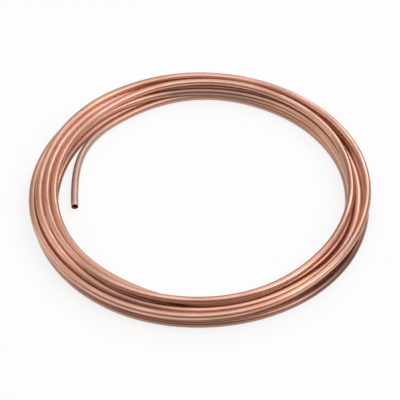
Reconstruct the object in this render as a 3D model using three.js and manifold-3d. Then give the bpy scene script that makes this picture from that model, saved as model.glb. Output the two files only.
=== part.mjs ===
// A coil of soft copper water tube, lying flat: one drawn length of tube, wound loosely in three layers,
// with its inner end bent off the turns and pointing across the eye. Millimetres, +Z up the coil's axis,
// the origin on the floor at the middle of the coil. The packed turns are one turned solid whose outline
// follows each turn that can be seen, and the free end is the real tube with its real bore.
import * as THREE from "three";
import { mergeVertices } from "three/addons/utils/BufferGeometryUtils.js";
import Module from "manifold-3d";

// The tube as it is drawn
const TUBE_DIAMETER = 8;
const TUBE_WALL = 0.6;

// The winding
const EYE_DIAMETER = 300; // clear width inside the turns
const LAYER_TURNS = [3, 4, 3]; // turns side by side in each layer, from the floor up
const LAYER_RISE = 7.8; // between the middles of two layers: a loose coil's turns ride high in their nests

// The free end, as a path seen from above: round with the turns, off them in a bend, then straight
const END_SLIPS_OUT_AT = 92; // degrees round the coil where the inner end starts to slip out of the bottom layer
const END_LIES_INSIDE_AT = 110; // degrees where it lies beside the bottom layer, on its inner side
const END_LEAVES_AT = 120; // degrees where it bends away from the turns
const END_BEND_RADIUS = 118; // to the tube's centre line
const END_STRAIGHT = 42; // straight tube after the bend
const END_BEDDING = 0.3; // how far the free end sinks into the turns beside it, which makes one solid of them

// How finely the round shapes are cut
const TUBE_SIDES = 12; // a multiple of four, so that turns beside each other meet flat to flat
const GROOVE_SHARE = 0.4; // how near, in sides, a turn's corners come to the line to the turn beside it
const COIL_FACETS = 60; // a multiple of four, so that the coil measures its full width both ways
const END_STEP = 6; // length of one step along the free end
const CUT_OVERRUN = 1; // how far a cutting tool runs past the face that it opens
const SAME_POINT = 1e-4; // points nearer than this are one

const TUBE_RADIUS = TUBE_DIAMETER / 2;
const BORE_RADIUS = TUBE_RADIUS - TUBE_WALL;
const WIDEST_LAYER = Math.max(...LAYER_TURNS);
const MIDDLE_RADIUS = (EYE_DIAMETER + WIDEST_LAYER * TUBE_DIAMETER) / 2;

const copper = new THREE.MeshStandardMaterial({ color: 0xbf7f66, roughness: 0.35, metalness: 1 });

const wasm = await Module();
wasm.setup();

// A closed three.js geometry as a manifold-3d solid.
function solidOf(geometry) {
  const bare = geometry.clone();
  bare.deleteAttribute("normal");
  bare.deleteAttribute("uv");
  const merged = mergeVertices(bare, SAME_POINT);
  const mesh = new wasm.Mesh({
    numProp: 3,
    vertProperties: merged.getAttribute("position").array,
    triVerts: new Uint32Array(merged.index.array),
  });
  return new wasm.Manifold(mesh);
}

// A manifold-3d solid as a three.js geometry with flat facets.
function geometryOf(solid) {
  const { vertProperties, triVerts } = solid.getMesh();
  const geometry = new THREE.BufferGeometry();
  geometry.setAttribute("position", new THREE.BufferAttribute(vertProperties, 3));
  geometry.setIndex(new THREE.BufferAttribute(triVerts, 1));
  const flat = geometry.toNonIndexed();
  flat.computeVertexNormals();
  return flat;
}

// Where a turn's centre lies in the coil's section: its distance from the coil's axis and its height.
function turnCentre(layer, place) {
  const across = (place - (LAYER_TURNS[layer] - 1) / 2) * TUBE_DIAMETER;
  return new THREE.Vector2(MIDDLE_RADIUS + across, TUBE_RADIUS + layer * LAYER_RISE);
}

// The centres of the turns on the outside of the bundle, round it from the inner turn on the floor.
function outsideTurns() {
  const top = LAYER_TURNS.length - 1;
  const floor = LAYER_TURNS[0];
  const bottomRow = Array.from({ length: floor }, (_, place) => turnCentre(0, place));
  const topRow = Array.from({ length: LAYER_TURNS[top] }, (_, place) => turnCentre(top, place));
  const outerSide = [];
  const innerSide = [];
  for (let layer = 1; layer < top; layer += 1) {
    outerSide.push(turnCentre(layer, LAYER_TURNS[layer] - 1));
    innerSide.push(turnCentre(top - layer, 0));
  }
  return [...bottomRow, ...outerSide, ...topRow.reverse(), ...innerSide];
}

// The corners of a round of the given radius whose flats touch the true circle, those between the angles
// `from` and `to`, in radians.
function roundCorners(centre, radius, from, to) {
  const step = (2 * Math.PI) / TUBE_SIDES;
  const reach = radius / Math.cos(step / 2);
  const first = Math.ceil(from / step - 0.5);
  const last = Math.floor(to / step - 0.5);
  return Array.from({ length: last - first + 1 }, (_, i) => {
    const angle = (first + i + 0.5) * step;
    return new THREE.Vector2(centre.x + reach * Math.cos(angle), centre.y + reach * Math.sin(angle));
  });
}

// The bundle's outline: each outside turn's free arc, joined across the grooves to the turns beside it.
function bundleOutline() {
  const turns = outsideTurns();
  const shy = (GROOVE_SHARE * 2 * Math.PI) / TUBE_SIDES;
  const corners = turns.flatMap((centre, i) => {
    const before = turns[(i + turns.length - 1) % turns.length];
    const after = turns[(i + 1) % turns.length];
    const from = before.clone().sub(centre).angle();
    const ahead = after.clone().sub(centre).angle();
    const to = ahead > from ? ahead : ahead + 2 * Math.PI;
    return roundCorners(centre, TUBE_RADIUS, from + shy, to - shy);
  });
  const outline = corners.filter((point, i) => point.distanceTo(corners.at(i - 1)) > SAME_POINT);
  return [...outline, outline[0].clone()];
}

// The packed turns as one turned solid. LatheGeometry turns about Y, so it is laid over to turn about Z.
function packedTurns() {
  const lathe = new THREE.LatheGeometry(bundleOutline(), COIL_FACETS);
  return solidOf(lathe.rotateX(Math.PI / 2));
}

// The free end's centre line between two distances along it, from where it slips out of the bottom layer.
class FreeEndPath extends THREE.Curve {
  constructor(start, end) {
    super();
    this.start = start;
    this.end = end;
  }

  getPoint(t, target = new THREE.Vector3()) {
    return target.copy(freeEndPoint(THREE.MathUtils.lerp(this.start, this.end, t)));
  }
}

const BED_RADIUS = turnCentre(0, 0).x - TUBE_DIAMETER + END_BEDDING;
const ALONG_TURNS = BED_RADIUS * THREE.MathUtils.degToRad(END_LEAVES_AT - END_SLIPS_OUT_AT);
const BEND_SWEEP = Math.PI - THREE.MathUtils.degToRad(END_LEAVES_AT);
const ALONG_BEND = END_BEND_RADIUS * BEND_SWEEP;
const END_LENGTH = ALONG_TURNS + ALONG_BEND + END_STRAIGHT;

// A point of the free end's centre line, by its distance along it.
function freeEndPoint(distance) {
  const height = TUBE_RADIUS;
  const leaving = THREE.MathUtils.degToRad(END_LEAVES_AT);
  if (distance < ALONG_TURNS) {
    const degrees = END_SLIPS_OUT_AT + THREE.MathUtils.radToDeg(distance / BED_RADIUS);
    const inside = THREE.MathUtils.smoothstep(degrees, END_SLIPS_OUT_AT, END_LIES_INSIDE_AT);
    const radius = THREE.MathUtils.lerp(turnCentre(0, 0).x, BED_RADIUS, inside);
    const angle = THREE.MathUtils.degToRad(degrees);
    return new THREE.Vector3(radius * Math.cos(angle), radius * Math.sin(angle), height);
  }
  const bendCentreRadius = BED_RADIUS - END_BEND_RADIUS;
  const bendCentre = new THREE.Vector3(
    bendCentreRadius * Math.cos(leaving),
    bendCentreRadius * Math.sin(leaving),
    height,
  );
  const round = Math.min(distance - ALONG_TURNS, ALONG_BEND) / END_BEND_RADIUS;
  const onBend = new THREE.Vector3(Math.cos(leaving + round), Math.sin(leaving + round), 0);
  const straight = Math.max(distance - ALONG_TURNS - ALONG_BEND, 0);
  return bendCentre.addScaledVector(onBend, END_BEND_RADIUS).add(new THREE.Vector3(0, -straight, 0));
}

// A round bar of the given radius along the free end's path between two distances.
function barAlongEnd(radius, start, end) {
  const section = new THREE.Shape(roundCorners(new THREE.Vector2(0, 0), radius, 0, 2 * Math.PI));
  const bar = new THREE.ExtrudeGeometry(section, {
    extrudePath: new FreeEndPath(start, end),
    steps: Math.ceil((end - start) / END_STEP),
  });
  return solidOf(bar);
}

// The whole coil: the packed turns and the free end joined, and the bore cut in from the cut face back to
// where the tube leaves the turns.
function coilSolid() {
  const freeEnd = barAlongEnd(TUBE_RADIUS, 0, END_LENGTH);
  const bore = barAlongEnd(BORE_RADIUS, ALONG_TURNS, END_LENGTH + CUT_OVERRUN);
  return packedTurns().add(freeEnd).subtract(bore);
}

const copperTube = new THREE.Mesh(geometryOf(coilSolid()), copper);
copperTube.name = "copper_tube";

const coil = new THREE.Group();
coil.add(copperTube);

export default coil;
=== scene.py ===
"""Visual model of a coil of soft copper tube.

The frame holds the coil as one turned solid. This script dresses it as what it is: one long hollow
tube, wound turn upon turn in three loose courses, both cut ends open, and drawn copper all over.
Sizes are metres unless a name says otherwise.
"""

import logging
import math
from collections.abc import Iterable
from dataclasses import dataclass, field
from enum import Enum

import bpy
import numpy as np
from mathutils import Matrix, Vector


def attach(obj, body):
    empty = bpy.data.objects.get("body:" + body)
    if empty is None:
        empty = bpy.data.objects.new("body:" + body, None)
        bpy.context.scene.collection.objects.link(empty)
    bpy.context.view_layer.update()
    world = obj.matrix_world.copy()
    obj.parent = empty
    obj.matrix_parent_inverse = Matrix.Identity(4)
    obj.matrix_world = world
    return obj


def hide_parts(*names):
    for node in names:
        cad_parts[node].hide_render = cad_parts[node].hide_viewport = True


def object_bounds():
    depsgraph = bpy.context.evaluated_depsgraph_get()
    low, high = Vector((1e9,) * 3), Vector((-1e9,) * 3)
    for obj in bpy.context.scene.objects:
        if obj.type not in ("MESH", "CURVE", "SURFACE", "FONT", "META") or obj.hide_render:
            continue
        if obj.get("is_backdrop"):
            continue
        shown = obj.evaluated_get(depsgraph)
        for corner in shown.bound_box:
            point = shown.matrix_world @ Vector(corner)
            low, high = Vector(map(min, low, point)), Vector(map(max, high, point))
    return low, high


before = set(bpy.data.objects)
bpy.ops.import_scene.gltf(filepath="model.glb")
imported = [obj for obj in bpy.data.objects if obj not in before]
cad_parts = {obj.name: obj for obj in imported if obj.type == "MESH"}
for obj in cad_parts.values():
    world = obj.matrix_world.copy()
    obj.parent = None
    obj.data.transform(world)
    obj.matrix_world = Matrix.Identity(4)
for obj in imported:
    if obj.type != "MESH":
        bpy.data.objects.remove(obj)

LOG = logging.getLogger("copper_tube_coil")
CAD_NODE = "copper_tube"
STRAIGHT = "straightened"
SHELTER = "shelter"
TURN_BEGINS_DEG = 90
FULL_TURN_DEG = 360
HALF_TUBE = 0.5

Berth = tuple[float, float, float]
Colour = tuple[float, float, float]
Place = tuple[float, float, float]
Scale = tuple[float, float, float]
Span = tuple[float, float]
Tint = Colour | bpy.types.NodeSocket


class Course(Enum):
    """The height of a tube's centre above the floor in each course, in tube diameters."""

    FLOOR = 0.5
    MIDDLE = 1.475
    TOP = 2.45


FLOOR = Course.FLOOR.value
MIDDLE = Course.MIDDLE.value
TOP = Course.TOP.value


class Skin(Enum):
    """The three kinds of surface on the tube, by material slot."""

    OUTSIDE = 0
    BORE = 1
    CUT = 2


@dataclass(frozen=True)
class Turn:
    """One turn of the tube, as the berths that it passes through.

    A berth is (angle, across, up). The angle is the place round the eye in degrees, and it falls
    along the tube: 0 is the right, 90 the back, 180 the left and 270 the front. Across is how far
    the tube's centre lies outside the coil's middle circle, and up is its height above the floor,
    both in tube diameters. A firm turn keeps to its berths, and the turns buried under it make
    room.
    """

    name: str
    berths: tuple[Berth, ...]
    firm: bool = True


LOOSE_END = Turn(
    "loose end, which leaves the eye's wall and runs out straight",
    (
        (185, -4.04, FLOOR),
        (180, -4.09, FLOOR),
        (174, -3.96, FLOOR),
        (167, -3.60, FLOOR),
        (162, -3.25, FLOOR),
        (157, -2.85, FLOOR),
        (150, -2.44, FLOOR),
        (145, -2.13, FLOOR),
        (140, -1.98, FLOOR),
        (130, -1.92, FLOOR),
        (120, -1.76, FLOOR),
        (108, -1.30, FLOOR),
    ),
)

TURNS = (
    Turn(
        "floor course, inside",
        (
            (90, -0.72, FLOOR),
            (60, -0.68, FLOOR),
            (45, -0.66, FLOOR),
            (30, -0.70, FLOOR),
            (15, -0.75, FLOOR),
            (0, -0.82, FLOOR),
            (352, -1.05, FLOOR),
            (345, -1.30, FLOOR),
            (330, -1.65, FLOOR),
            (300, -1.88, FLOOR),
            (285, -1.96, FLOOR),
            (270, -1.96, FLOOR),
            (255, -1.85, FLOOR),
            (240, -1.62, FLOOR),
            (225, -1.40, FLOOR),
            (180, -1.36, FLOOR),
            (170, -1.45, FLOOR),
            (163, -1.38, FLOOR),
            (150, -1.14, FLOOR),
            (135, -0.98, FLOOR),
            (120, -0.78, FLOOR),
            (105, -0.35, FLOOR),
        ),
        firm=False,
    ),
    Turn(
        "floor course, middle, which climbs to the middle course",
        (
            (90, 0.28, FLOOR),
            (45, 0.28, FLOOR),
            (15, 0.20, FLOOR),
            (0, 0.12, FLOOR),
            (345, -0.25, FLOOR),
            (330, -0.68, FLOOR),
            (315, -0.80, FLOOR),
            (300, -0.90, FLOOR),
            (285, -0.97, FLOOR),
            (270, -0.97, FLOOR),
            (255, -0.88, 0.60),
            (240, -0.68, 0.90),
            (225, -0.70, 1.20),
            (210, -0.72, 1.30),
            (180, -0.72, 1.28),
            (165, -0.65, 1.30),
            (150, -0.80, 1.36),
            (135, -0.77, 1.43),
            (120, -0.75, MIDDLE),
            (105, -0.90, MIDDLE),
        ),
        firm=False,
    ),
    Turn(
        "middle course, inside, which climbs to the top",
        (
            (90, -0.92, MIDDLE),
            (75, -0.79, MIDDLE),
            (60, -0.61, MIDDLE),
            (45, -0.52, MIDDLE),
            (35, -0.60, MIDDLE),
            (25, -0.72, MIDDLE),
            (15, -0.78, MIDDLE),
            (0, -0.80, MIDDLE),
            (345, -0.82, 1.45),
            (330, -1.10, 1.42),
            (315, -1.46, 1.44),
            (300, -1.50, 1.45),
            (285, -1.42, 1.45),
            (270, -1.30, 1.44),
            (255, -1.68, 1.62),
            (240, -1.88, 1.86),
            (225, -1.70, 1.95),
            (210, -1.48, 2.10),
            (195, -1.49, 2.08),
            (180, -1.40, 2.04),
            (165, -1.13, 2.13),
            (150, -0.92, 2.33),
            (135, -0.75, 2.40),
            (120, -0.60, TOP),
            (115, -0.40, TOP),
            (110, -0.15, TOP),
            (105, -0.20, TOP),
        ),
    ),
    Turn(
        "top course, which crosses over to the inside",
        (
            (90, 0.01, TOP),
            (75, 0.11, 2.43),
            (60, 0.06, 2.37),
            (45, 0.03, 2.36),
            (38, -0.02, 2.37),
            (30, -0.12, 2.40),
            (22, -0.30, 2.43),
            (15, -0.47, TOP),
            (8, -0.64, TOP),
            (0, -0.80, TOP),
            (352, -0.99, TOP),
            (345, -1.13, TOP),
            (338, -1.24, 2.42),
            (330, -1.38, 2.37),
            (322, -1.48, 2.33),
            (315, -1.48, 2.37),
            (308, -1.37, 2.41),
            (300, -1.31, 2.43),
            (285, -1.18, 2.43),
            (270, -1.13, 2.42),
            (255, -1.04, 2.43),
            (240, -0.75, TOP),
            (225, -0.61, 2.42),
            (210, -0.58, 2.30),
            (195, -0.50, 2.28),
            (180, -0.37, 2.32),
            (165, -0.20, 2.40),
            (150, -0.05, 2.35),
            (135, 0.20, 2.25),
            (125, 0.32, 2.12),
            (120, 0.38, 1.98),
            (112, 0.36, 1.70),
            (105, 0.12, 1.50),
        ),
    ),
    Turn(
        "middle course, which comes up at the right and again at the left",
        (
            (90, 0.08, MIDDLE),
            (75, 0.21, MIDDLE),
            (60, 0.38, MIDDLE),
            (45, 0.48, MIDDLE),
            (35, 0.40, MIDDLE),
            (28, 0.30, 1.50),
            (22, 0.20, 1.57),
            (15, 0.17, 1.68),
            (8, 0.13, 1.85),
            (0, 0.10, 2.05),
            (352, 0.13, 2.12),
            (345, 0.18, 2.00),
            (338, 0.24, 1.84),
            (330, 0.31, 1.74),
            (322, 0.25, 1.76),
            (315, -0.02, 1.80),
            (308, -0.19, 1.74),
            (300, -0.33, 1.60),
            (285, -0.41, 1.45),
            (270, -0.38, 1.40),
            (255, -0.16, 1.46),
            (240, 0.12, 1.65),
            (225, 0.33, 1.95),
            (210, 0.39, 2.17),
            (195, 0.56, 2.25),
            (180, 0.62, 2.20),
            (165, 0.70, 2.05),
            (150, 0.95, 2.30),
            (135, 1.10, 2.42),
            (120, 1.20, TOP),
            (105, 1.25, TOP),
        ),
    ),
    Turn(
        "top course, outside, which sinks to the middle course",
        (
            (90, 1.30, 2.40),
            (60, 1.30, 2.38),
            (45, 1.35, 2.38),
            (30, 1.45, 2.38),
            (15, 1.50, 2.36),
            (8, 1.42, 2.34),
            (0, 1.30, 2.34),
            (352, 1.20, 2.36),
            (345, 1.08, 2.40),
            (338, 0.97, 2.43),
            (330, 0.87, TOP),
            (322, 0.81, TOP),
            (315, 0.81, TOP),
            (308, 0.84, 2.42),
            (300, 0.95, 2.34),
            (285, 1.10, 2.20),
            (270, 1.22, 2.12),
            (255, 1.34, 2.04),
            (240, 1.42, 1.86),
            (225, 1.43, 1.77),
            (210, 1.46, 1.71),
            (195, 1.50, 1.60),
            (180, 1.50, 1.53),
            (165, 1.50, 1.60),
            (150, 1.50, 1.55),
            (120, 1.40, MIDDLE),
        ),
    ),
    Turn(
        "middle course, outside, which dips to the floor at the front",
        (
            (90, 1.30, MIDDLE),
            (60, 1.40, 1.45),
            (30, 1.40, 1.40),
            (15, 1.20, 1.42),
            (0, 0.86, 1.42),
            (352, 0.75, 1.25),
            (345, 0.60, 1.05),
            (337, 0.40, 0.88),
            (330, 0.27, 0.77),
            (315, 0.20, 0.82),
            (300, 0.10, 0.60),
            (285, 0.03, FLOOR),
            (270, 0.04, FLOOR),
            (255, 0.16, FLOOR),
            (240, 0.30, 0.68),
            (225, 0.36, 0.96),
            (210, 0.42, 1.16),
            (195, 0.46, 1.23),
            (180, 0.38, 1.28),
            (150, 0.50, 1.20),
            (120, 0.95, 0.80),
        ),
        firm=False,
    ),
    Turn(
        "floor course, outside, with the outer cut end",
        (
            (90, 1.28, FLOOR),
            (45, 1.20, FLOOR),
            (0, 1.08, FLOOR),
            (345, 1.17, FLOOR),
            (330, 1.25, FLOOR),
            (315, 1.18, FLOOR),
            (300, 1.10, FLOOR),
            (285, 1.00, FLOOR),
            (270, 1.00, FLOOR),
            (255, 1.15, FLOOR),
            (240, 1.30, FLOOR),
            (225, 1.32, FLOOR),
            (210, 1.28, FLOOR),
            (180, 1.20, FLOOR),
            (150, 1.15, FLOOR),
            (112, 1.30, FLOOR),
        ),
    ),
)


@dataclass(frozen=True)
class CoilSpace:
    """The room that the turned solid takes up.

    Attributes:
        reach: The distance from the axis to the outermost metal.
        height: The distance from the floor to the highest metal.
    """

    reach: float
    height: float

    @classmethod
    def of_frame(cls, bounds: tuple[Iterable[float], Iterable[float]]) -> "CoilSpace":
        """Reads the room from the frame's box.

        Args:
            bounds: The lowest and the highest corner of the box.

        Returns:
            The room for the winding.
        """
        low, high = (list(corner) for corner in bounds)
        return cls(reach=min(high[0], high[1], -low[0], -low[1]), height=high[2])


@dataclass
class Winding:
    """The line that the tube's centre follows from its inner end to its outer end.

    The berths say about where each turn lies. The turns are then settled against each other: tubes
    that share a place are pushed apart, none goes through the floor, and a stiff tube bends gently.

    Attributes:
        space: The room that the coil may take up.
        tube: The tube's outside diameter.
        step_deg: How far apart the line's points are.
        rounds: How many rounds of settling there are.
        pushes: How often tubes are pushed apart in one round.
        stiffness: How much of each bend a round eases out.
        firm_pull: How strongly a firm turn is drawn to its berths in one round.
        slack_pull: How strongly any other turn is.
        slack_weight: How hard any other turn is to push, where a firm one is 1.
        push_apart: How much of what two tubes share one push takes out.
        easing: How often the berths' corners are eased before settling.
        easing_share: How much of each corner that takes out.
    """

    space: CoilSpace
    tube: float = 0.008
    step_deg: float = 3.0
    rounds: int = 600
    pushes: int = 2
    stiffness: float = 0.25
    firm_pull: float = 0.25
    slack_pull: float = 0.02
    slack_weight: float = 0.15
    push_apart: float = 0.7
    easing: int = 8
    easing_share: float = 0.5

    @property
    def start_deg(self) -> float:
        """The angle of the loose end's cut."""
        return LOOSE_END.berths[0][0]

    @property
    def middle_circle(self) -> float:
        """The radius that berths are measured from: two tube diameters inside the reach."""
        return self.space.reach - 2 * self.tube

    @property
    def per_turn(self) -> int:
        """How many points one turn has."""
        return round(FULL_TURN_DEG / self.step_deg)

    def berth_line(self) -> np.ndarray:
        """Joins all the berths into one line.

        Returns:
            One row for each berth: degrees travelled from the loose end, across, up, and 1 where
            the turn is firm.
        """
        rows = [(self.start_deg - angle, across, up, 1) for angle, across, up in LOOSE_END.berths]
        to_first_turn = self.start_deg - TURN_BEGINS_DEG
        for lap, turn in enumerate(TURNS):
            for angle, across, up in turn.berths:
                into_turn = (TURN_BEGINS_DEG - angle) % FULL_TURN_DEG
                travelled = to_first_turn + FULL_TURN_DEG * lap + into_turn
                rows.append((travelled, across, up, float(turn.firm)))
        return np.array(rows)

    @staticmethod
    def smoothed(line: np.ndarray, share: float, times: int = 1) -> np.ndarray:
        """Eases a line's corners, as a stiff tube does.

        Args:
            line: The points in order.
            share: How far each point moves to the middle of its neighbours, from 0 to 1.
            times: How often that is done.

        Returns:
            The eased line, with its ends where they were.
        """
        eased = line.copy()
        for _ in range(times):
            middle = (eased[:-2] + eased[2:]) / 2
            eased[1:-1] += share * (middle - eased[1:-1])
        return eased

    def apart(self, laps: np.ndarray, weight: np.ndarray) -> np.ndarray:
        """Moves tubes that share a place apart, and keeps them above the floor and in the room.

        Args:
            laps: Across and up of each point, by lap and by place in the lap.
            weight: How hard each point is to move.

        Returns:
            The points after one round of pushing.
        """
        between = laps[:, None] - laps[None]
        distance = np.linalg.norm(between, axis=-1)
        near = (distance < 1) & (distance > 0)
        short = np.where(near, 1 - distance, 0.0)
        away = between / np.where(near, distance, 1.0)[..., None]
        share = weight[None] / (weight[:, None] + weight[None])
        laps = laps + self.push_apart * np.nansum(away * (short * share)[..., None], axis=1)
        top = self.space.height / self.tube - HALF_TUBE
        rim = (self.space.reach - self.middle_circle) / self.tube - HALF_TUBE
        laps[..., 1] = np.clip(laps[..., 1], FLOOR, top)
        laps[..., 0] = np.minimum(laps[..., 0], rim)
        return laps

    def settled(self) -> tuple[np.ndarray, np.ndarray]:
        """Lays the tube in its berths and settles it.

        Returns:
            The angle of each point in radians, and its across and up in tube diameters.
        """
        berths = self.berth_line()
        count = round(berths[-1, 0] / self.step_deg) + 1
        travelled = np.arange(count) * self.step_deg
        wanted = np.column_stack(
            [np.interp(travelled, berths[:, 0], berths[:, column]) for column in (1, 2, 3)]
        )
        wanted = self.smoothed(wanted, self.easing_share, self.easing)
        firm = wanted[:, 2:]
        wanted = wanted[:, :2]
        pull = self.slack_pull + (self.firm_pull - self.slack_pull) * firm
        laps = math.ceil(count / self.per_turn)
        weight = np.ones(laps * self.per_turn)
        weight[:count] = self.slack_weight + (1 - self.slack_weight) * firm[:, 0]
        weight = weight.reshape(laps, self.per_turn)
        line = wanted.copy()
        for _ in range(self.rounds):
            line = self.smoothed(line, self.stiffness)
            line += pull * (wanted - line)
            grid = np.full((laps * self.per_turn, 2), np.nan)
            grid[:count] = line
            grid = grid.reshape(laps, self.per_turn, 2)
            for _ in range(self.pushes):
                grid = self.apart(grid, weight)
            line = grid.reshape(-1, 2)[:count]
        return np.radians(self.start_deg - travelled), line

    def centre_line(self) -> np.ndarray:
        """Works out the centre line.

        Returns:
            The points of the line from the inner end to the outer end.
        """
        angle, berth = self.settled()
        radius = self.middle_circle + berth[:, 0] * self.tube
        height = berth[:, 1] * self.tube
        return np.column_stack([radius * np.cos(angle), radius * np.sin(angle), height])


class NodeBench:
    """A short way to lay out one material's nodes.

    Attributes:
        mix_share: The place of the share among a colour mix's inputs.
        mix_colours: The places of the two colours among its inputs.
        mix_result: The place of the blended colour among its outputs.
    """

    mix_share = 0
    mix_colours = (6, 7)
    mix_result = 2

    def __init__(self, name: str) -> None:
        """Makes an empty material with nodes.

        Args:
            name: The material's name.
        """
        self.material = bpy.data.materials.new(name)
        self.material.use_nodes = True
        self.tree = self.material.node_tree
        self.tree.nodes.clear()

    def node(self, kind: str, **settings: object) -> bpy.types.Node:
        """Adds a node.

        Args:
            kind: The node's type, without its ShaderNode prefix.
            **settings: Properties of the node to set.

        Returns:
            The new node.
        """
        made = self.tree.nodes.new("ShaderNode" + kind)
        for key, value in settings.items():
            setattr(made, key, value)
        return made

    def join(self, source: bpy.types.NodeSocket, target: bpy.types.NodeSocket) -> None:
        """Links an output to an input."""
        self.tree.links.new(source, target)

    def stretched(self, where: bpy.types.NodeSocket, scale: Scale) -> bpy.types.NodeSocket:
        """Scales a coordinate, each axis by its own factor.

        Args:
            where: The coordinate.
            scale: The factors, in repeats a metre.

        Returns:
            The scaled coordinate.
        """
        mapping = self.node("Mapping", vector_type="POINT")
        mapping.inputs["Scale"].default_value = scale
        self.join(where, mapping.inputs["Vector"])
        return mapping.outputs["Vector"]

    def part_of(self, where: bpy.types.NodeSocket, axis: str) -> bpy.types.NodeSocket:
        """Takes one axis of a coordinate.

        Args:
            where: The coordinate.
            axis: X, Y or Z.

        Returns:
            The coordinate's value on that axis.
        """
        parts = self.node("SeparateXYZ")
        self.join(where, parts.inputs["Vector"])
        return parts.outputs[axis]

    def noise(
        self, where: bpy.types.NodeSocket, scale: Scale, detail: float, roughness: float = 0.5
    ) -> bpy.types.NodeSocket:
        """Adds a noise pattern.

        Args:
            where: The coordinate that it follows.
            scale: Its repeats a metre on each axis.
            detail: How many finer layers it has.
            roughness: How strong the finer layers are.

        Returns:
            The pattern, about 0.5 on average.
        """
        pattern = self.node("TexNoise")
        pattern.inputs["Scale"].default_value = 1.0
        pattern.inputs["Detail"].default_value = detail
        pattern.inputs["Roughness"].default_value = roughness
        self.join(self.stretched(where, scale), pattern.inputs["Vector"])
        return pattern.outputs["Fac"]

    def spread(
        self, value: bpy.types.NodeSocket, low: float, high: float, to_low: float, to_high: float
    ) -> bpy.types.NodeSocket:
        """Maps low to high onto to_low to to_high, held at both ends.

        Args:
            value: The value to map.
            low: The value that becomes to_low.
            high: The value that becomes to_high.
            to_low: The first result.
            to_high: The last result.

        Returns:
            The mapped value.
        """
        mapped = self.node("MapRange", clamp=True)
        for name, number in zip(
            ("From Min", "From Max", "To Min", "To Max"), (low, high, to_low, to_high)
        ):
            mapped.inputs[name].default_value = number
        self.join(value, mapped.inputs["Value"])
        return mapped.outputs["Result"]

    def blended(
        self, share: bpy.types.NodeSocket, first: Tint, second: Tint
    ) -> bpy.types.NodeSocket:
        """Blends two colours.

        Args:
            share: How much of the second shows.
            first: A colour or an output.
            second: A colour or an output.

        Returns:
            The blended colour.
        """
        mix = self.node("Mix", data_type="RGBA", blend_type="MIX")
        self.join(share, mix.inputs[self.mix_share])
        for place, source in zip(self.mix_colours, (first, second)):
            if isinstance(source, tuple):
                mix.inputs[place].default_value = (*source, 1.0)
            else:
                self.join(source, mix.inputs[place])
        return mix.outputs[self.mix_result]

    def summed(
        self, first: bpy.types.NodeSocket, second: bpy.types.NodeSocket
    ) -> bpy.types.NodeSocket:
        """Adds two values."""
        return self.reckoned("ADD", first, second)

    def either(
        self, first: bpy.types.NodeSocket, second: bpy.types.NodeSocket
    ) -> bpy.types.NodeSocket:
        """Takes the greater of two values."""
        return self.reckoned("MAXIMUM", first, second)

    def reckoned(
        self, sum_name: str, first: bpy.types.NodeSocket, second: bpy.types.NodeSocket
    ) -> bpy.types.NodeSocket:
        """Works out one value from two.

        Args:
            sum_name: What is done with them, as the Math node names it.
            first: The first value.
            second: The second value.

        Returns:
            The result.
        """
        sums = self.node("Math", operation=sum_name)
        for socket, value in zip(sums.inputs, (first, second)):
            self.join(value, socket)
        return sums.outputs["Value"]

    def bumped(
        self, height: bpy.types.NodeSocket, strength: float, depth: float
    ) -> bpy.types.NodeSocket:
        """Makes fine relief from a pattern.

        Args:
            height: The pattern.
            strength: How much of the relief shows, from 0 to 1.
            depth: The relief's depth in metres.

        Returns:
            The surface's normal with the relief in it.
        """
        bump = self.node("Bump")
        bump.inputs["Strength"].default_value = strength
        bump.inputs["Distance"].default_value = depth
        self.join(height, bump.inputs["Height"])
        return bump.outputs["Normal"]

    def metal(self, colour: bpy.types.NodeSocket, rough: bpy.types.NodeSocket) -> bpy.types.Node:
        """Adds a shader of bare metal.

        Args:
            colour: The metal's colour.
            rough: Its roughness.

        Returns:
            The shader's node.
        """
        shader = self.node("BsdfPrincipled")
        shader.inputs["Metallic"].default_value = 1.0
        self.join(colour, shader.inputs["Base Color"])
        self.join(rough, shader.inputs["Roughness"])
        return shader

    def finish(self, shader: bpy.types.NodeSocket) -> bpy.types.Material:
        """Sends the shader to the material's surface.

        Args:
            shader: The shader's output.

        Returns:
            The finished material.
        """
        output = self.node("OutputMaterial")
        self.join(shader, output.inputs["Surface"])
        return self.material


@dataclass(frozen=True)
class ShadedStretch:
    """A stretch of the tube's outside painted darker brown, as shade.

    Attributes:
        begins: Where it starts to show and where it is full, in metres from the loose end.
        ends: Where it starts to fade and where it is gone.
        depth: How much of the painted shade shows, from 0 to 1.
    """

    begins: Span
    ends: Span
    depth: float


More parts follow.
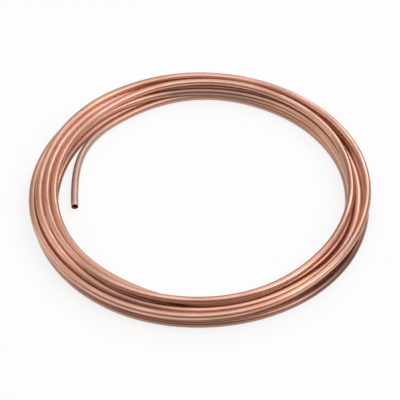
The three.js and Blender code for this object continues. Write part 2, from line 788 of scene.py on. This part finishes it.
@dataclass(frozen=True)
class DrawnCopper:
    """The outside of drawn soft copper tube: satin, streaked along its length, lightly tarnished.

    It is painted darker low down, along the floor course, as shade, and painted darker brown in a
    few stretches, also as shade. It is painted paler where another turn touches it, as light
    bounced between the turns. It is paler and rougher where the loose end is handled. A share says
    how much of its colour shows where it is strongest. A scale is a pattern's repeats a metre on
    each axis, and a range is the part of the pattern that shows. A length or reach is where a tint
    starts to fade and where it is gone, in metres.
    """

    bright: Colour = (0.83, 0.48, 0.365)
    dull: Colour = (0.62, 0.33, 0.235)
    tarnish_scale: Scale = (26.0, 90.0, 90.0)
    patch_scale: Scale = (16.0, 16.0, 16.0)
    dull_range: Span = (0.8, 1.25)
    streak_scale: Scale = (9.0, 900.0, 900.0)
    streak_range: Span = (0.42, 0.72)
    streak_share: float = 0.55
    hairline_scale: Scale = (30.0, 3500.0, 3500.0)
    streak_bump: float = 0.12
    streak_depth: float = 0.00005
    # Painted shade: the colour is darkened low down, along the floor course.
    low_shade_colour: Colour = (0.52, 0.28, 0.205)
    low_shade_reach: Span = (0.0081, 0.0093)
    low_shade_share: float = 0.85
    # Painted light: the colour is made paler where another turn touches, as light bounced between
    # the turns.
    sheltered: Colour = (0.86, 0.505, 0.38)
    crevice_light_share: float = 0.9
    handled: Colour = (0.59, 0.41, 0.34)
    handled_length: Span = (0.09, 0.16)
    handled_share: float = 0.85
    burnished: Colour = (0.72, 0.55, 0.45)
    burnished_length: Span = (0.001, 0.005)
    burnished_share: float = 0.8
    # Painted shade: a darker brown laid over a few stretches of the tube.
    shade_brown: Colour = (0.17, 0.095, 0.07)
    shade_stretches: tuple[ShadedStretch, ...] = (
        ShadedStretch(begins=(2.19, 2.215), ends=(2.29, 2.34), depth=0.60),
        ShadedStretch(begins=(3.41, 3.45), ends=(3.50, 3.53), depth=0.32),
        ShadedStretch(begins=(4.785, 4.825), ends=(4.855, 4.925), depth=0.60),
        ShadedStretch(begins=(7.81, 7.87), ends=(7.925, 7.98), depth=0.80),
        ShadedStretch(begins=(7.95, 8.00), ends=(8.08, 8.15), depth=0.28),
    )
    roughness: Span = (0.24, 0.34)
    roughness_range: Span = (0.3, 0.7)
    tarnished_roughness: float = 0.10
    tarnished_range: Span = (0.35, 0.75)
    sheltered_roughness: float = 0.30
    handled_roughness: float = 0.12

    def material(self) -> bpy.types.Material:
        """Lays out the finish.

        Returns:
            The material.
        """
        bench = NodeBench("drawn_copper")
        straight = bench.node("Attribute", attribute_name=STRAIGHT).outputs["Vector"]
        shelter = bench.node("Attribute", attribute_name=SHELTER).outputs["Fac"]
        place = bench.node("TexCoord").outputs["Object"]
        streaks = bench.noise(straight, self.streak_scale, detail=3.0, roughness=0.6)
        hairlines = bench.noise(straight, self.hairline_scale, detail=2.0)
        tarnish = bench.noise(straight, self.tarnish_scale, detail=4.0, roughness=0.6)
        patches = bench.noise(place, self.patch_scale, detail=3.0)
        height = bench.part_of(place, "Z")
        along = bench.part_of(straight, "X")

        dulled = bench.spread(bench.summed(tarnish, patches), *self.dull_range, 0.0, 1.0)
        colour = bench.blended(dulled, self.bright, self.dull)
        streaked = bench.spread(streaks, *self.streak_range, 0.0, self.streak_share)
        colour = bench.blended(streaked, colour, self.dull)
        # Painted shade: darker low down, along the floor course.
        low_shade = bench.spread(height, *self.low_shade_reach, self.low_shade_share, 0.0)
        colour = bench.blended(low_shade, colour, self.low_shade_colour)
        # Painted light: paler where another turn touches, as light bounced between the turns.
        crevice_light = bench.spread(shelter, 0.0, 1.0, 0.0, self.crevice_light_share)
        colour = bench.blended(crevice_light, colour, self.sheltered)
        # Painted shade: darker brown over a few stretches.
        for stretch_of_shade in self.shade_stretches:
            colour = self.shade_painted(bench, along, colour, stretch_of_shade)
        handled = bench.spread(along, *self.handled_length, self.handled_share, 0.0)
        colour = bench.blended(handled, colour, self.handled)
        burnished = bench.spread(along, *self.burnished_length, self.burnished_share, 0.0)
        colour = bench.blended(burnished, colour, self.burnished)

        rough = bench.summed(
            bench.spread(streaks, *self.roughness_range, *self.roughness),
            bench.spread(tarnish, *self.tarnished_range, 0.0, self.tarnished_roughness),
        )
        rough = bench.summed(rough, bench.spread(shelter, 0.0, 1.0, 0.0, self.sheltered_roughness))
        rough = bench.summed(rough, bench.spread(handled, 0.0, 1.0, 0.0, self.handled_roughness))

        shader = bench.metal(colour, rough)
        grain = bench.summed(streaks, hairlines)
        relief = bench.bumped(grain, self.streak_bump, self.streak_depth)
        bench.join(relief, shader.inputs["Normal"])
        return bench.finish(shader.outputs["BSDF"])

    def shade_painted(
        self,
        bench: NodeBench,
        along: bpy.types.NodeSocket,
        colour: bpy.types.NodeSocket,
        stretch_of_shade: ShadedStretch,
    ) -> bpy.types.NodeSocket:
        """Paints shade, a darker brown, over one stretch.

        Args:
            bench: The material's nodes.
            along: The place along the tube, in metres from the loose end.
            colour: The colour without the painted shade.
            stretch_of_shade: The stretch.

        Returns:
            The colour with the painted shade.
        """
        shade_amount = bench.spread(along, *stretch_of_shade.begins, 0.0, stretch_of_shade.depth)
        past = bench.spread(along, *stretch_of_shade.ends, 0.0, 1.0)
        return bench.blended(past, bench.blended(shade_amount, colour, self.shade_brown), colour)


@dataclass(frozen=True)
class BoreCopper:
    """The inside of the tube, which drawing leaves matt and dark."""

    clean: Colour = (0.50, 0.30, 0.22)
    dark: Colour = (0.36, 0.20, 0.14)
    film_scale: Scale = (120.0, 500.0, 500.0)
    film_range: Span = (0.35, 0.65)
    roughness: Span = (0.50, 0.65)
    roughness_range: Span = (0.3, 0.7)

    def material(self) -> bpy.types.Material:
        """Lays out the finish.

        Returns:
            The material.
        """
        bench = NodeBench("bore_copper")
        straight = bench.node("Attribute", attribute_name=STRAIGHT).outputs["Vector"]
        film = bench.noise(straight, self.film_scale, detail=4.0, roughness=0.6)
        filmed = bench.spread(film, *self.film_range, 0.0, 1.0)
        colour = bench.blended(filmed, self.clean, self.dark)
        rough = bench.spread(film, *self.roughness_range, *self.roughness)
        return bench.finish(bench.metal(colour, rough).outputs["BSDF"])


@dataclass(frozen=True)
class CutCopper:
    """A cut face: bright metal with the cutter's fine scores on it."""

    bright: Colour = (0.78, 0.45, 0.32)
    scored: Colour = (0.55, 0.28, 0.19)
    scoring_scale: Scale = (900.0, 4000.0, 4000.0)
    scoring_range: Span = (0.4, 0.65)
    scoring_bump: float = 0.2
    scoring_depth: float = 0.00005
    roughness: Span = (0.34, 0.46)
    roughness_range: Span = (0.3, 0.7)

    def material(self) -> bpy.types.Material:
        """Lays out the finish.

        Returns:
            The material.
        """
        bench = NodeBench("cut_copper")
        place = bench.node("TexCoord").outputs["Object"]
        scoring = bench.noise(place, self.scoring_scale, detail=3.0)
        marked = bench.spread(scoring, *self.scoring_range, 0.0, 1.0)
        colour = bench.blended(marked, self.bright, self.scored)
        rough = bench.spread(scoring, *self.roughness_range, *self.roughness)
        shader = bench.metal(colour, rough)
        relief = bench.bumped(scoring, self.scoring_bump, self.scoring_depth)
        bench.join(relief, shader.inputs["Normal"])
        return bench.finish(shader.outputs["BSDF"])


@dataclass
class TubeCoil:
    """The coil itself: one hollow tube along the winding's centre line.

    Attributes:
        winding: Where the tube runs.
        wall: The thickness of the tube's wall.
        sides: How many sides the tube's round has, an even number.
        end_rounding: How far the rounding of a cut edge reaches.
        end_rounding_rings: How many strips of faces make that rounding.
        shelter_reach: How far another turn shelters the surface, in tube diameters.
        name: The finished piece's name.
        line: The points of the tube's centre line, once it is built.
        piece: The piece, once it is built.
    """

    winding: Winding
    wall: float = 0.0006
    sides: int = 24
    end_rounding: float = 0.00012
    end_rounding_rings: int = 2
    shelter_reach: float = 0.45
    name: str = "wound_copper_tube"
    line: np.ndarray = field(init=False)
    piece: bpy.types.Object = field(init=False)

    def build(self) -> bpy.types.Object:
        """Makes the tube's mesh.

        Returns:
            The finished piece.
        """
        self.line = self.winding.centre_line()
        self.sweep()
        self.note_surface()
        self.line_bore()
        self.round_ends()
        return self.piece

    def sweep(self) -> None:
        """Sweeps the tube's outside round along the centre line and makes it a mesh."""
        bpy.ops.object.select_all(action="DESELECT")
        bpy.ops.curve.primitive_nurbs_path_add(location=(0, 0, 0))
        self.piece = bpy.context.object
        self.piece.name = self.name
        curve = self.piece.data
        curve.name = self.name
        curve.splines.clear()
        spline = curve.splines.new("POLY")
        spline.points.add(len(self.line) - 1)
        rows = np.column_stack([self.line, np.ones(len(self.line))])
        spline.points.foreach_set("co", rows.ravel())
        curve.dimensions = "3D"
        curve.twist_mode = "Z_UP"
        curve.fill_mode = "FULL"
        curve.bevel_depth = self.winding.tube / 2
        curve.bevel_resolution = self.sides // 2 - 2
        curve.use_fill_caps = False
        bpy.ops.object.convert(target="MESH")
        self.piece = bpy.context.object

    def note_surface(self) -> None:
        """Writes onto each point where it would lie on the straight tube, and how sheltered it is.

        The first attribute is the place along the tube and round it, in metres, for the streaks
        that drawing leaves. The second is 1 where the surface touches another turn and 0 in the
        open, for the rougher metal between turns and the paler colour painted there as bounced
        light.
        """
        mesh = self.piece.data
        points = np.empty(len(mesh.vertices) * 3)
        mesh.vertices.foreach_get("co", points)
        points = points.reshape(-1, 3)
        rings = points.reshape(len(self.line), -1, 3)
        out = rings - self.line[:, None]
        furthest = np.linalg.norm(out, axis=-1).max()
        LOG.info("rings of %d points, furthest from the line %.5f", rings.shape[1], furthest)
        run = np.gradient(self.line, axis=0)
        run /= np.linalg.norm(run, axis=1)[:, None]
        side = np.cross(run, (0.0, 0.0, 1.0))
        side /= np.linalg.norm(side, axis=1)[:, None]
        rise = np.cross(side, run)
        hops = np.linalg.norm(np.diff(self.line, axis=0), axis=1)
        along = np.concatenate([[0.0], np.cumsum(hops)])
        straight = np.stack(
            [
                np.broadcast_to(along[:, None], out.shape[:2]),
                (out * side[:, None]).sum(-1),
                (out * rise[:, None]).sum(-1),
            ],
            axis=-1,
        )
        layer = mesh.attributes.new(STRAIGHT, "FLOAT_VECTOR", "POINT")
        layer.data.foreach_set("vector", straight.astype(np.float32).ravel())
        layer = mesh.attributes.new(SHELTER, "FLOAT", "POINT")
        layer.data.foreach_set("value", self.shelter_of(rings).astype(np.float32).ravel())

    def shelter_of(self, rings: np.ndarray) -> np.ndarray:
        """Works out how sheltered each point is by the turns beside it.

        Args:
            rings: The points, by ring.

        Returns:
            One value for each point, from 0 in the open to 1 where another turn touches.
        """
        per_turn = self.winding.per_turn
        reach = self.winding.tube * self.shelter_reach
        sheltered = np.zeros(rings.shape[:2])
        laps = math.ceil(len(self.line) / per_turn)
        for lap in range(-laps, laps + 1):
            shift = lap * per_turn
            if shift == 0:
                continue
            first, last = max(0, -shift), min(len(self.line), len(self.line) - shift)
            if last <= first:
                continue
            other = self.line[first + shift : last + shift]
            clear = np.linalg.norm(rings[first:last] - other[:, None], axis=-1)
            clear -= self.winding.tube / 2
            near = np.clip(1 - clear / reach, 0, 1)
            sheltered[first:last] = np.maximum(sheltered[first:last], near)
        return sheltered

    def line_bore(self) -> None:
        """Gives the tube its wall, inwards from its outside."""
        wall = self.piece.modifiers.new("wall", "SOLIDIFY")
        wall.thickness = self.wall
        wall.offset = -1.0
        wall.use_rim = True
        wall.material_offset = Skin.BORE.value
        wall.material_offset_rim = Skin.CUT.value
        self.piece.data.materials.clear()
        for finish in (DrawnCopper(), BoreCopper(), CutCopper()):
            self.piece.data.materials.append(finish.material())
        bpy.ops.object.modifier_apply(modifier=wall.name)

    def round_ends(self) -> None:
        """Rounds the sharp edges of both cut faces, and shades the rest smooth."""
        mesh = self.piece.data
        cut_edges: set[tuple[int, int]] = set()
        other_edges: set[tuple[int, int]] = set()
        for face in mesh.polygons:
            is_cut = face.material_index == Skin.CUT.value
            (cut_edges if is_cut else other_edges).update(face.edge_keys)
        border = cut_edges & other_edges
        bpy.ops.object.mode_set(mode="EDIT")
        bpy.ops.mesh.select_mode(type="EDGE")
        bpy.ops.mesh.select_all(action="DESELECT")
        bpy.ops.object.mode_set(mode="OBJECT")
        for edge in mesh.edges:
            edge.select = edge.key in border
        bpy.ops.object.mode_set(mode="EDIT")
        bpy.ops.mesh.bevel(offset=self.end_rounding, segments=self.end_rounding_rings)
        bpy.ops.mesh.select_all(action="DESELECT")
        bpy.ops.object.mode_set(mode="OBJECT")
        bpy.ops.object.shade_smooth()

    def hand_over(self) -> None:
        """Puts the piece on the root body and hides the frame's node that it replaces."""
        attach(self.piece, "root")
        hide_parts(CAD_NODE)


@dataclass(frozen=True)
class Lamp:
    """A soft oblong lamp that faces the middle of the floor.

    Attributes:
        name: The lamp's name.
        where: Its place.
        size: Its width and depth.
        watts: Its power.
    """

    name: str
    where: Place
    size: tuple[float, float]
    watts: float


@dataclass
class Studio:
    """A pale floor, soft lamps over it, light from all round and the camera.

    Attributes:
        floor_colour: The floor's own colour.
        floor_size: The length of its sides.
        floor_glow: How much plain white the camera sees of it in place of lit floor.
        mirrored_glow: The same, as the metal mirrors the floor.
        light_side: The way to the brightest part of the room's light.
        dim_from: The cosine of the angle from there at which the light is dimmest.
        dim_light: Its strength where it is dimmest.
        full_light: Its strength at its brightest.
        lamps: The lamps.
        lamp_target: The point that they face.
        lens_mm: The focal length of the camera's lens.
        sensor_mm: The width of its sensor.
        distance: How far it stands from the middle of the coil.
        elevation_deg: How steeply it looks down.
        look_at: The point that it faces.
    """

    floor_colour: Colour = (0.93, 0.93, 0.93)
    floor_size: float = 12.0
    floor_glow: float = 0.8
    mirrored_glow: float = 0.45
    light_side: Place = (0.0, 0.2, 0.98)
    dim_from: float = 0.25
    dim_light: float = 0.15
    full_light: float = 1.15
    lamps: tuple[Lamp, ...] = (
        Lamp("key_lamp", where=(0.05, -0.15, 1.30), size=(1.2, 0.8), watts=2.4),
        Lamp("back_lamp", where=(0.60, 1.15, 1.00), size=(1.0, 0.6), watts=4.2),
        Lamp("left_lamp", where=(-1.40, 0.18, 0.60), size=(0.8, 0.6), watts=2.2),
        Lamp("right_lamp", where=(2.05, -0.70, 1.95), size=(1.8, 2.2), watts=26.0),
    )
    lamp_target: Place = (0.0, 0.0, 0.0)
    lens_mm: float = 180.0
    sensor_mm: float = 36.0
    distance: float = 2.121
    elevation_deg: float = 45.84
    look_at: Place = (-0.0006, -0.0093, 0.0118)

    def build(self) -> None:
        """Makes all of it."""
        self.lay_floor()
        self.light_room()
        for lamp in self.lamps:
            self.hang(lamp)
        self.set_camera()

    def lay_floor(self) -> None:
        """Lays a matt white floor, well beyond the coil, which keeps a faint part of its shadow."""
        bpy.ops.object.select_all(action="DESELECT")
        bpy.ops.mesh.primitive_plane_add(size=self.floor_size, location=(0, 0, 0))
        floor = bpy.context.object
        floor.name = "white_floor"
        bench = NodeBench("white_floor")
        matt = bench.node("BsdfDiffuse")
        matt.inputs["Color"].default_value = (*self.floor_colour, 1.0)
        glow = bench.node("Emission")
        glow.inputs["Color"].default_value = (1.0, 1.0, 1.0, 1.0)
        glow.inputs["Strength"].default_value = 1.0
        rays = bench.node("LightPath")
        mirrored = bench.either(rays.outputs["Is Glossy Ray"], rays.outputs["Is Transmission Ray"])
        share = bench.either(
            bench.spread(rays.outputs["Is Camera Ray"], 0.0, 1.0, 0.0, self.floor_glow),
            bench.spread(mirrored, 0.0, 1.0, 0.0, self.mirrored_glow),
        )
        mix = bench.node("MixShader")
        bench.join(share, mix.inputs[0])
        bench.join(matt.outputs["BSDF"], mix.inputs[1])
        bench.join(glow.outputs["Emission"], mix.inputs[2])
        floor.data.materials.append(bench.finish(mix.outputs["Shader"]))
        floor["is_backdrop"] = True

    def light_room(self) -> None:
        """Sets the light from all round: full overhead and dim towards the horizon."""
        world = bpy.data.worlds.new("studio_room")
        bpy.context.scene.world = world
        world.use_nodes = True
        tree = world.node_tree
        tree.nodes.clear()
        output = tree.nodes.new("ShaderNodeOutputWorld")
        light = tree.nodes.new("ShaderNodeBackground")
        way = tree.nodes.new("ShaderNodeTexCoord")
        towards = tree.nodes.new("ShaderNodeVectorMath")
        towards.operation = "DOT_PRODUCT"
        towards.inputs[1].default_value = self.light_side
        level = tree.nodes.new("ShaderNodeMapRange")
        level.inputs["From Min"].default_value = self.dim_from
        level.inputs["From Max"].default_value = 1.0
        level.inputs["To Min"].default_value = self.dim_light
        level.inputs["To Max"].default_value = self.full_light
        tree.links.new(way.outputs["Generated"], towards.inputs[0])
        tree.links.new(towards.outputs["Value"], level.inputs["Value"])
        tree.links.new(level.outputs["Result"], light.inputs["Strength"])
        tree.links.new(light.outputs["Background"], output.inputs["Surface"])

    def hang(self, lamp: Lamp) -> None:
        """Hangs a lamp.

        Args:
            lamp: What it is and where it hangs.
        """
        data = bpy.data.lights.new(lamp.name, "AREA")
        data.shape = "RECTANGLE"
        data.size, data.size_y = lamp.size
        data.energy = lamp.watts
        fitting = bpy.data.objects.new(lamp.name, data)
        bpy.context.collection.objects.link(fitting)
        fitting.location = lamp.where
        fitting.rotation_euler = self.facing(lamp.where, self.lamp_target)

    @staticmethod
    def facing(where: Place, towards: Place) -> Place:
        """Works out the turn that points a lamp's or camera's face from one point to another.

        Args:
            where: The first point.
            towards: The second point.

        Returns:
            The Euler angles.
        """
        x, y, z = (end - start for start, end in zip(where, towards))
        level = math.hypot(x, y)
        quarter_turn = math.pi / 2
        heading = math.atan2(y, x) - quarter_turn if level > 0 else 0.0
        return (quarter_turn + math.atan2(z, level), 0.0, heading)

    def set_camera(self) -> None:
        """Sets the camera in front of the coil and above it."""
        data = bpy.data.cameras.new("viewpoint")
        data.lens = self.lens_mm
        data.sensor_width = self.sensor_mm
        data.sensor_fit = "AUTO"
        camera = bpy.data.objects.new("viewpoint", data)
        bpy.context.collection.objects.link(camera)
        tilt = math.radians(self.elevation_deg)
        centre_height = self.look_at[2]
        place = (
            0.0,
            -self.distance * math.cos(tilt),
            centre_height + self.distance * math.sin(tilt),
        )
        camera.location = place
        camera.rotation_euler = self.facing(place, self.look_at)
        bpy.context.scene.camera = camera


def main() -> None:
    """Builds the coil and its studio in order."""
    logging.basicConfig(level=logging.INFO, format="%(message)s")
    cad_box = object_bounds()
    scene = bpy.context.scene
    scene.view_settings.view_transform = "Standard"
    for turn in (LOOSE_END, *TURNS):
        LOG.info("%s: %d berths", turn.name, len(turn.berths))
    coil = TubeCoil(Winding(CoilSpace.of_frame(cad_box)))
    piece = coil.build()
    coil.hand_over()
    LOG.info("%s: %d faces", piece.name, len(piece.data.polygons))
    Studio().build()
    LOG.info("studio: floor, lamps and camera")


if __name__ == "__main__":
    main()
